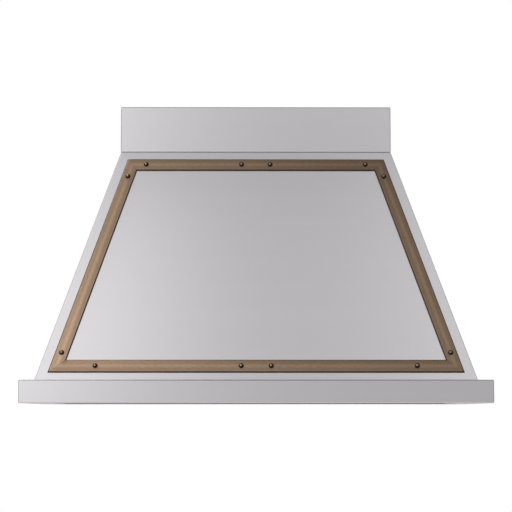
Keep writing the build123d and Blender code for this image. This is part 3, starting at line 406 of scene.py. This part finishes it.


# Bronze frame. Four flat bars with a low crown and sloping edges, mitred at the corners. They are
# antique bronze, with a painted highlight along the crown and painted shade along the edges.
canopy_low, canopy_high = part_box("front_panel")
band_low, band_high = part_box("duct_band")
BASE_HALF, NARROWING = canopy_high[0], canopy_high[0] - band_high[0]
FACE_RUN, FACE_RISE = band_low[1] - canopy_low[1], canopy_high[2] - canopy_low[2]
SLOPE = atan(FACE_RUN / FACE_RISE)
FACE_LENGTH = hypot(FACE_RUN, FACE_RISE)
TAPER = atan(NARROWING / FACE_LENGTH)
BAR_WIDTH, BAR_LENGTH = 0.035, 1.4          # the length is cut to the mitres
BAR_EDGE, BAR_SLOPE, SLOPE_WIDTH = 0.0018, 0.0022, 0.0025
CROWN_RISE, CROWN_STEPS = 0.0006, 8         # steps from the middle line to the sloping edge
BAR_LOW = 0.020
BAR_HIGH = FACE_LENGTH - 0.022
SIDE_MARGIN = 0.026
HALF_BAR = BAR_WIDTH / 2
CROWN_STEP = (HALF_BAR - SLOPE_WIDTH) / CROWN_STEPS
MID_SLOPE = BAR_EDGE + BAR_SLOPE / 2
EASED_ANGLE = radians(25)
PATTERN_STEP = 2.3                          # keeps the strokes of the four bars apart
face_place = Matrix((
    (1, 0, 0, 0),
    (0, sin(SLOPE), -cos(SLOPE), canopy_low[1]),
    (0, cos(SLOPE), sin(SLOPE), canopy_low[2]),
    (0, 0, 0, 1),
))


def face_half(v, margin):
    """Half the width of the canopy face at v up the slope, less a margin square to its side."""
    return BASE_HALF - v * NARROWING / FACE_LENGTH - margin / cos(TAPER)


def frame_corner(inset, side, high):
    """A corner of the frame, this far in from its outer line."""
    v = BAR_HIGH - inset if high else BAR_LOW + inset
    return Vector((side * face_half(v, SIDE_MARGIN + inset), v, 0))


def faded(tree, value, start, end, first=0.0, last=1.0, way="SMOOTHSTEP"):
    """Runs from first to last while the value runs from start to end."""
    step = place_node(
        tree, "ShaderNodeMapRange",
        {"Value": value, "From Min": start, "From Max": end, "To Min": first, "To Max": last},
        interpolation_type=way,
    )
    return step.outputs[0]


def bar_material():
    """Antique bronze that follows each bar: strokes along it, a painted highlight along the crown,
    painted shade at its edges, and painted light that darkens towards the right and the top.
    """
    material, tree, shader = new_finish("bronze_painted_light", metal=1.0)
    place = place_node(tree, "ShaderNodeAttribute", attribute_name="bar_place").outputs["Vector"]
    strokes = lay_grain(
        tree, shader, place, (90, 380, 260), (0.204, 0.143, 0.099),
        contrast=0.70, rough=0.55, spread=0.15, depth=0.00003, strength=0.6,
    )
    aside = place_node(tree, "ShaderNodeSeparateXYZ", {0: place}).outputs["Y"]
    off = place_node(tree, "ShaderNodeMath", {0: aside}, operation="ABSOLUTE").outputs[0]
    # Painted light: each bar's own tone, the left bar lightest.
    tone = place_node(tree, "ShaderNodeAttribute", attribute_name="bar_lit_tone").outputs["Fac"]
    where = place_node(tree, "ShaderNodeTexCoord").outputs["Object"]
    spot = place_node(tree, "ShaderNodeSeparateXYZ", {0: where}).outputs
    # Painted highlight: the crown is lighter along its middle line.
    crown_highlight = faded(tree, off, 0.0, 0.0080, 1.30, 1.0)
    # Painted light: the bars grow lighter towards the left and darker towards the right and the
    # top.
    painted_shade_right = faded(tree, spot["X"], -0.56, 0.45, 1.68, 1.02, way="LINEAR")
    painted_shade_up = faded(tree, spot["Z"], 0.08, 0.66, 0.99, 0.75, way="LINEAR")
    painted_light_factor = sum_of(tree, crown_highlight, tone, 0.0)
    painted_light_factor = sum_of(tree, painted_light_factor, painted_shade_right, 0.0)
    painted_light_factor = sum_of(tree, painted_light_factor, painted_shade_up, 0.0)
    # Painted shade: the sloping edges go almost black.
    edge = faded(tree, off, 0.0146, 0.0158)
    dark = laid_over(tree, edge, scaled(tree, strokes, painted_light_factor), (0.055, 0.037, 0.026, 1))
    tree.links.new(dark, shader.inputs["Base Color"])
    return material


def select_where(obj, test, kind="FACE"):
    """In edit mode, select the faces or points for which the test holds."""
    bpy.ops.mesh.select_mode(type=kind)
    bpy.ops.mesh.select_all(action="DESELECT")
    mesh = bmesh.from_edit_mesh(obj.data)
    for item in mesh.faces if kind == "FACE" else mesh.verts:
        if test(item):
            item.select_set(True)
    mesh.select_flush_mode()
    bmesh.update_edit_mesh(obj.data)


def keep_place(obj, label, along=0.0):
    """Each point remembers where it is on the unturned piece, for the pattern of its finish."""
    memory = obj.data.attributes.new(label, "FLOAT_VECTOR", "POINT")
    for vertex, kept in zip(obj.data.vertices, memory.data):
        kept.vector = vertex.co + Vector((along, 0, 0))


def raise_by(height):
    """What is selected goes straight up."""
    bpy.ops.transform.translate(value=(0, 0, height))


def settle(obj, place):
    """The finished mesh goes to its place, and its object stays at the origin."""
    obj.matrix_world = place
    bpy.ops.object.transform_apply(location=True, rotation=True, scale=True)


# Each bar has its name, its tone of painted light (the left bar lightest), its two ends, its middle
# on the face and its turn.
side_v = FACE_LENGTH / 2
side_u = face_half(side_v, SIDE_MARGIN + HALF_BAR)
bars = (
    ("bottom", 1.01, ((-1, False), (1, False)), (0, BAR_LOW + HALF_BAR), 0),
    ("top", 0.94, ((-1, True), (1, True)), (0, BAR_HIGH - HALF_BAR), pi),
    ("right", 1.04, ((1, False), (1, True)), (side_u, side_v), pi / 2 + TAPER),
    ("left", 1.42, ((-1, False), (-1, True)), (-side_u, side_v), -pi / 2 - TAPER),
)
bronze = bar_material()
for number, (name, tone, ends, centre, turn) in enumerate(bars):
    bpy.ops.mesh.primitive_cube_add(size=1)
    bar = bpy.context.object
    bar.name = f"bronze_bar_{name}"
    bpy.ops.object.mode_set(mode="EDIT")
    bpy.ops.transform.resize(value=(BAR_LENGTH, BAR_WIDTH, BAR_EDGE))
    raise_by(BAR_EDGE / 2)
    select_where(bar, lambda f: f.normal.z > 0.9)
    bpy.ops.mesh.extrude_region_move(TRANSFORM_OT_translate={"value": (0, 0, BAR_SLOPE)})
    bpy.ops.transform.resize(value=(1, (BAR_WIDTH - 2 * SLOPE_WIDTH) / BAR_WIDTH, 1))
    crown_lines = range(1 - CROWN_STEPS, CROWN_STEPS)
    for i in crown_lines:
        bpy.ops.mesh.select_all(action="SELECT")
        bpy.ops.mesh.bisect(plane_co=(0, i * CROWN_STEP, 0), plane_no=(0, 1, 0))
    for i in crown_lines:
        line = i * CROWN_STEP
        select_where(bar, lambda v: abs(v.co.y - line) < 0.0001 and v.co.z > MID_SLOPE, "VERT")
        raise_by(CROWN_RISE * (1 - (i / CROWN_STEPS) ** 2))
    flat = Matrix.Translation((*centre, 0)) @ Matrix.Rotation(turn, 4, "Z")
    unturned = flat.inverted()
    for side, high in ends:
        outer, inner = (unturned @ frame_corner(inset, side, high) for inset in (0, BAR_WIDTH))
        mitre = inner - outer
        outward = Vector((mitre.y, -mitre.x, 0))
        if outward.x * outer.x < 0:
            outward.negate()
        bpy.ops.mesh.select_all(action="SELECT")
        bpy.ops.mesh.bisect(plane_co=outer, plane_no=outward, use_fill=True, clear_outer=True)
    bpy.ops.object.mode_set(mode="OBJECT")
    ease_edges(bar, 0.0004, EASED_ANGLE)
    keep_place(bar, "bar_place", PATTERN_STEP * number)
    # Painted light: the bar's tone from the table.
    lit_tone = bar.data.attributes.new("bar_lit_tone", "FLOAT", "POINT")
    lit_tone.data.foreach_set("value", [tone] * len(bar.data.vertices))
    settle(bar, face_place @ flat)
    stand_for(bar, f"trim_{name}", "hood", bronze)


# Screws. Twelve low dome heads on a short skirt, turned from the same bronze and left darker than
# the bars. Each crown is lighter, partly rubbed by handling and partly a painted highlight set to
# the upper left, which leaves painted shade on the lower right.
HEAD_RADIUS, HEAD_RISE, HEAD_SKIRT = 0.0066, 0.0035, 0.0020
HEAD_SEAT = 0.0058                          # the dome's rim above the canopy's face
MIDDLE_OFF, CORNER_OFF, LOW_CORNER_OFF = 0.039, 0.038, 0.099


def screw_places():
    """Middle pairs, corner screws and side screws, as places on the canopy face."""
    low, high = BAR_LOW + HALF_BAR, BAR_HIGH - HALF_BAR
    line = SIDE_MARGIN + HALF_BAR
    rise = CORNER_OFF * cos(TAPER)
    found = []
    for side in (-1, 1):
        found += [(side * MIDDLE_OFF, high), (side * MIDDLE_OFF, low)]
        found.append((side * (face_half(high, line) - CORNER_OFF), high))
        found.append((side * (face_half(low, line) - LOW_CORNER_OFF), low))
        found += [(side * face_half(v, line), v) for v in (low + rise, high - rise)]
    return found


def screw_finish():
    """Dark bronze, with a rubbed crown painted lighter and moved to the upper left as a
    painted highlight.
    """
    material = brushed(
        "bronze_screw_dark", (0.022, 0.016, 0.012), (900, 900, 900),
        contrast=0.2, rough=0.27, spread=0.05,
    )
    tree = material.node_tree
    base = tree.nodes["Principled BSDF"].inputs["Base Color"]
    place = place_node(tree, "ShaderNodeAttribute", attribute_name="head_place").outputs["Vector"]
    # Painted highlight up and to the left of the dome's middle; painted shade at the lower right.
    inputs = {0: place, 1: (1, 1, 0), 2: (0.0008, -0.0006, 0)}
    level = place_node(tree, "ShaderNodeVectorMath", inputs, operation="MULTIPLY_ADD").outputs[0]
    off = place_node(tree, "ShaderNodeVectorMath", {0: level}, operation="LENGTH").outputs["Value"]
    crown_highlight = faded(tree, off, 0.0018, 0.0036, 0.85, 0.0)
    dark = base.links[0].from_socket
    tree.links.new(laid_over(tree, crown_highlight, dark, (0.340, 0.265, 0.205, 1)), base)
    return material


def set_out(made, placings):
    """A copy of the piece, with its own mesh, at each placing, all joined to one piece."""
    copies = []
    for placing in placings:
        spare = bpy.data.objects.new(made.name, made.data.copy())
        scene.collection.objects.link(spare)
        spare.data.transform(placing)
        copies.append(spare)
    name = made.name
    bpy.data.objects.remove(made)
    pick(copies[0])
    for spare in copies:
        spare.select_set(True)
    bpy.ops.object.join()
    bpy.context.object.name = name
    return bpy.context.object


dome_radius = (HEAD_RADIUS**2 + HEAD_RISE**2) / (2 * HEAD_RISE)
dome_cut = dome_radius - HEAD_RISE
bpy.ops.mesh.primitive_uv_sphere_add(segments=28, ring_count=24, radius=dome_radius)
head = bpy.context.object
head.name = "bronze_screws"
bpy.ops.object.mode_set(mode="EDIT")
bpy.ops.mesh.select_all(action="SELECT")
bpy.ops.mesh.bisect(plane_co=(0, 0, dome_cut), plane_no=(0, 0, -1), clear_outer=True, use_fill=True)
select_where(head, lambda f: f.normal.z < -0.9)
bpy.ops.mesh.extrude_region_move(TRANSFORM_OT_translate={"value": (0, 0, -HEAD_SKIRT)})
bpy.ops.object.mode_set(mode="OBJECT")
bpy.ops.object.shade_smooth_by_angle(angle=radians(50))
keep_place(head, "head_place")
seats = [face_place @ Matrix.Translation((u, v, HEAD_SEAT - dome_cut)) for u, v in screw_places()]
stand_for(set_out(head, seats), "trim_screws", "hood", screw_finish())


# Underside. A folded pan along the front carries the lamps and buttons, a lid closes it, and two
# channels close the ends of the filter bay. The rod that the filters hang on is drawn bright steel.
def refine(names, edge, body, material):
    """Nodes whose form is right, each redone with eased edges and smooth rounds."""
    made = []
    for name in names:
        piece = worked_copy(name, f"{name}_eased", edge)
        stand_for(piece, name, body, material)
        made.append(piece)
    return made


refine(["light_panel"], 0.0002, "hood", level_steel)
refine(["light_panel_cover"], 0.0003, "hood", back_steel)
refine(["left_side_liner", "right_side_liner"], 0.0003, "hood", side_steel)
bright_steel = brushed(
    "steel_drawn_bright", (0.58, 0.57, 0.56), (8, 500, 500), contrast=0.12, rough=0.22
)
refine(["filter_rod"], 0.0006, "hood", bright_steel)


# Filters. Three frames folded from thin stainless, each with two rows of channels that interlock
# without touching. A strap handle and a spring latch finish each one.
filter_steel = brushed(
    "steel_filter_satin", (0.53, 0.52, 0.52), (600, 6, 600), contrast=0.16, rough=0.30
)
frame_steel = brushed("steel_filter_frame", (0.56, 0.55, 0.55), (60, 60, 500), rough=0.32)
spring_steel = brushed(
    "steel_spring_blued", (0.33, 0.34, 0.37), (600, 40, 600), contrast=0.2, rough=0.28
)
for name in ("left", "centre", "right"):
    rides = f"{name}_filter"
    refine([f"filter_frame_{name}"], 0.0003, rides, frame_steel)
    refine([f"filter_baffles_{name}"], 0.0002, rides, filter_steel)
    refine([f"filter_handle_{name}"], 0.0005, rides, bright_steel)
    refine([f"filter_latch_{name}"], 0.0001, rides, spring_steel)


# Grease tray. A shallow tray folded from stainless sheet. It slides forward from the wall, under
# the rear edges of the filters.
refine(["grease_tray"], 0.0002, "tray", level_steel)


# Lamps. Recessed spotlights: a cast aluminium can, a turned ring and a frosted disc of ribbed
# glass. The driver that feeds them is a pale grey case beside them.
def plain(name, colour, rough, metal=0.0, scale=900, contrast=0.12, depth=0.00003):
    """Moulded plastic, paint or cast metal with a fine even tooth."""
    material, tree, shader = new_finish(name, metal)
    place = place_node(tree, "ShaderNodeTexCoord").outputs["Object"]
    even = (scale, scale, scale)
    tooth = lay_grain(tree, shader, place, even, colour, contrast, rough, 0.12, depth)
    tree.links.new(tooth, shader.inputs["Base Color"])
    return material


def turned(piece, profile, sharp):
    """A piece turned on a lathe, drawn out ring by ring through (radius, height) pairs."""
    radius, height = profile[0]
    bpy.ops.object.select_all(action="DESELECT")
    bpy.ops.mesh.primitive_circle_add(vertices=64, radius=radius, location=(0, 0, 0))
    made = bpy.context.object
    made.name = piece
    bpy.ops.object.mode_set(mode="EDIT")
    bpy.ops.mesh.select_mode(type="EDGE")
    bpy.ops.mesh.select_all(action="SELECT")
    raise_by(height)
    for next_radius, next_height in profile[1:]:
        lift = (0, 0, next_height - height)
        bpy.ops.mesh.extrude_region_move(TRANSFORM_OT_translate={"value": lift})
        grow = next_radius / radius
        bpy.ops.transform.resize(value=(grow, grow, 1), center_override=(0, 0, 0))
        radius, height = next_radius, next_height
    bpy.ops.mesh.select_all(action="SELECT")
    bpy.ops.mesh.remove_doubles(threshold=WELD)
    bpy.ops.mesh.fill_holes(sides=0)
    bpy.ops.mesh.select_all(action="SELECT")
    bpy.ops.mesh.normals_make_consistent(inside=False)
    bpy.ops.object.mode_set(mode="OBJECT")
    bpy.ops.object.shade_smooth_by_angle(angle=radians(sharp))
    return made


low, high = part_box("lamp_bezels")
LAMP_OFF = (-0.430, -0.190, 0.190, 0.430)
LAMP_LINE = (low[1] + high[1]) / 2
RING_RADIUS, BORE, LENS_RADIUS = (high[1] - low[1]) / 2, 0.0266, 0.0264
PAN_FACE, RING_FACE = high[2], low[2]
lamp_row = [Matrix.Translation((x, LAMP_LINE, 0)) for x in LAMP_OFF]
ring = turned("lamp_rings", (
    (BORE, PAN_FACE),
    (BORE, RING_FACE + 0.0010),
    (BORE + 0.0005, RING_FACE + 0.0004),
    (BORE + 0.0014, RING_FACE + 0.0001),
    (BORE + 0.0025, RING_FACE),
    (RING_RADIUS - 0.0040, RING_FACE),
    (RING_RADIUS - 0.0022, RING_FACE + 0.0002),
    (RING_RADIUS - 0.0010, RING_FACE + 0.0007),
    (RING_RADIUS - 0.0002, RING_FACE + 0.0014),
    (RING_RADIUS, PAN_FACE - 0.0002),
    (RING_RADIUS, PAN_FACE),
    (BORE, PAN_FACE),
), sharp=35)
turned_steel = plain(
    "steel_turned_bright", (0.60, 0.59, 0.58), 0.20,
    metal=1.0, scale=700, contrast=0.10, depth=0.00001,
)
stand_for(set_out(ring, lamp_row), "lamp_bezels", "hood", turned_steel)

RIBS, RIB_PITCH, FIRST_RIB, FIRST_GROOVE = 12, 0.0021, 0.0258, 0.0249
LENS_MIDDLE = 0.0003                        # the last ring, closed by a small disc
LENS_EDGE, GROOVE, RIB = PAN_FACE - 0.0008, PAN_FACE - 0.0007, PAN_FACE - 0.0010
outline = [(LENS_MIDDLE, PAN_FACE), (LENS_RADIUS, PAN_FACE), (LENS_RADIUS, LENS_EDGE)]
for i in range(RIBS):
    outline += [(FIRST_RIB - RIB_PITCH * i, RIB), (FIRST_GROOVE - RIB_PITCH * i, GROOVE)]
outline.append((LENS_MIDDLE, RIB))
lens = turned("lamp_glasses", outline, sharp=20)
lens_glass = plain("glass_frosted_lens", (0.84, 0.86, 0.85), 0.24, scale=500, contrast=0.05)
lens_glass.node_tree.nodes["Principled BSDF"].inputs["Coat Weight"].default_value = 0.5
stand_for(set_out(lens, lamp_row), "lamp_lenses", "hood", lens_glass)

can_metal = plain("aluminium_cast_can", (0.50, 0.50, 0.51), 0.45, metal=1.0)
driver_case = plain("plastic_driver_grey", (0.70, 0.70, 0.68), 0.5)
refine(["lamp_cans"], 0.0008, "hood", can_metal)
refine(["lamp_driver"], 0.0008, "hood", driver_case)


# Controls. Four square push buttons with dished faces, in a bezel pressed from bright sheet. The
# switch housing is moulded in black and sits above the pan.
DISH = ((0.0016, 0.0003), (0.0014, 0.0003), (0.0016, 0.0001))   # each ring: how far in, how deep
black_plastic = plain("plastic_black_switch", (0.030, 0.030, 0.032), 0.42)
button_steel = brushed("steel_button_satin", (0.55, 0.54, 0.54), (500, 20, 500), rough=0.28)
refine(["control_bezel"], 0.0007, "hood", bright_steel)
for name in ("off", "slower", "faster", "lamp"):
    button = refine([f"button_{name}"], 0.0004, f"{name}_button", button_steel)[0]
    face_z = min(vertex.co.z for vertex in button.data.vertices) + 0.0001
    pick(button)
    bpy.ops.object.mode_set(mode="EDIT")
    select_where(button, lambda f: f.normal.z < -0.99 and f.calc_center_median().z < face_z)
    for rim, sink in DISH:
        bpy.ops.mesh.inset(thickness=rim)
        raise_by(sink)
    bpy.ops.object.mode_set(mode="OBJECT")
    bpy.ops.object.shade_smooth_by_angle(angle=SHARP)
refine(["switch_housing"], 0.0012, "hood", black_plastic)


# Hanging rail. A folded rail of galvanised steel, screwed to the canopy's back, that carries the
# hood on its wall screws.
def zinc_coated(name, colour, flakes):
    """Hot dipped zinc: flat crystals that each catch the light a little differently."""
    material, tree, shader = new_finish(name, metal=1.0)
    place = place_node(tree, "ShaderNodeTexCoord").outputs["Object"]
    even = (flakes, flakes, flakes)
    turn = place_node(tree, "ShaderNodeMapping", {"Vector": place, "Scale": even}).outputs[0]
    crystals = place_node(tree, "ShaderNodeTexVoronoi", {"Vector": turn, "Scale": 1.0}).outputs
    drawn = place_node(tree, "ShaderNodeSeparateColor", {0: crystals["Color"]}).outputs
    tinted = scaled(tree, colour, sum_of(tree, drawn["Red"], 0.42, 0.76))
    tree.links.new(tinted, shader.inputs["Base Color"])
    tree.links.new(sum_of(tree, drawn["Green"], 0.22, 0.30), shader.inputs["Roughness"])
    raise_relief(tree, shader, crystals["Distance"], depth=0.00004, strength=0.4)
    return material


galvanised = zinc_coated("steel_galvanised", (0.46, 0.47, 0.48), 100)
refine(["hanging_rail"], 0.0003, "hood", galvanised)


# Blower. A galvanised spiral casing with spun inlet rings, a wheel of forward-curved blades, and
# the motor held inside the wheel by a three-armed bracket. The capacitor hangs on one cheek.
casing = ["blower_wrapper", "blower_cheeks", "inlet_rings", "motor_bracket"]
motor_paint = plain("paint_motor_black", (0.045, 0.046, 0.050), 0.45, scale=700)
capacitor_case = plain("plastic_capacitor_dark", (0.085, 0.086, 0.092), 0.38)
wheel_metal = zinc_coated("steel_galvanised_wheel", (0.48, 0.49, 0.50), 160)
refine(casing, 0.0002, "hood", galvanised)
node["blower_wheel"].data.materials.clear()
node["blower_wheel"].data.materials.append(wheel_metal)
refine(["wheel_shaft"], 0.0004, "wheel", turned_steel)
refine(["blower_motor"], 0.0006, "hood", motor_paint)
refine(["motor_capacitor"], 0.0006, "hood", capacitor_case)


# Outlet. The deck closes the canopy's top and carries a flared boot below and a round collar above,
# with two damper flaps on one pin.
duct = ["blower_deck", "outlet_transition", "outlet_collar"]
flap_metal = brushed("aluminium_flap", (0.60, 0.61, 0.62), (6, 400, 400), contrast=0.1, rough=0.35)
refine(duct, 0.0003, "hood", galvanised)
refine(["deck_bolts"], 0.0005, "hood", turned_steel)
refine(["damper_pin"], 0.0004, "hood", turned_steel)
refine(["damper_flap_front"], 0.0003, "front_flap", flap_metal)
refine(["damper_flap_rear"], 0.0003, "rear_flap", flap_metal)


# Supply. A wiring box of galvanised steel under the deck with its lid, and the black plastic gland
# where the cable comes in.
refine(["junction_box", "junction_box_cover"], 0.0003, "hood", galvanised)
refine(["cable_gland"], 0.0005, "hood", black_plastic)
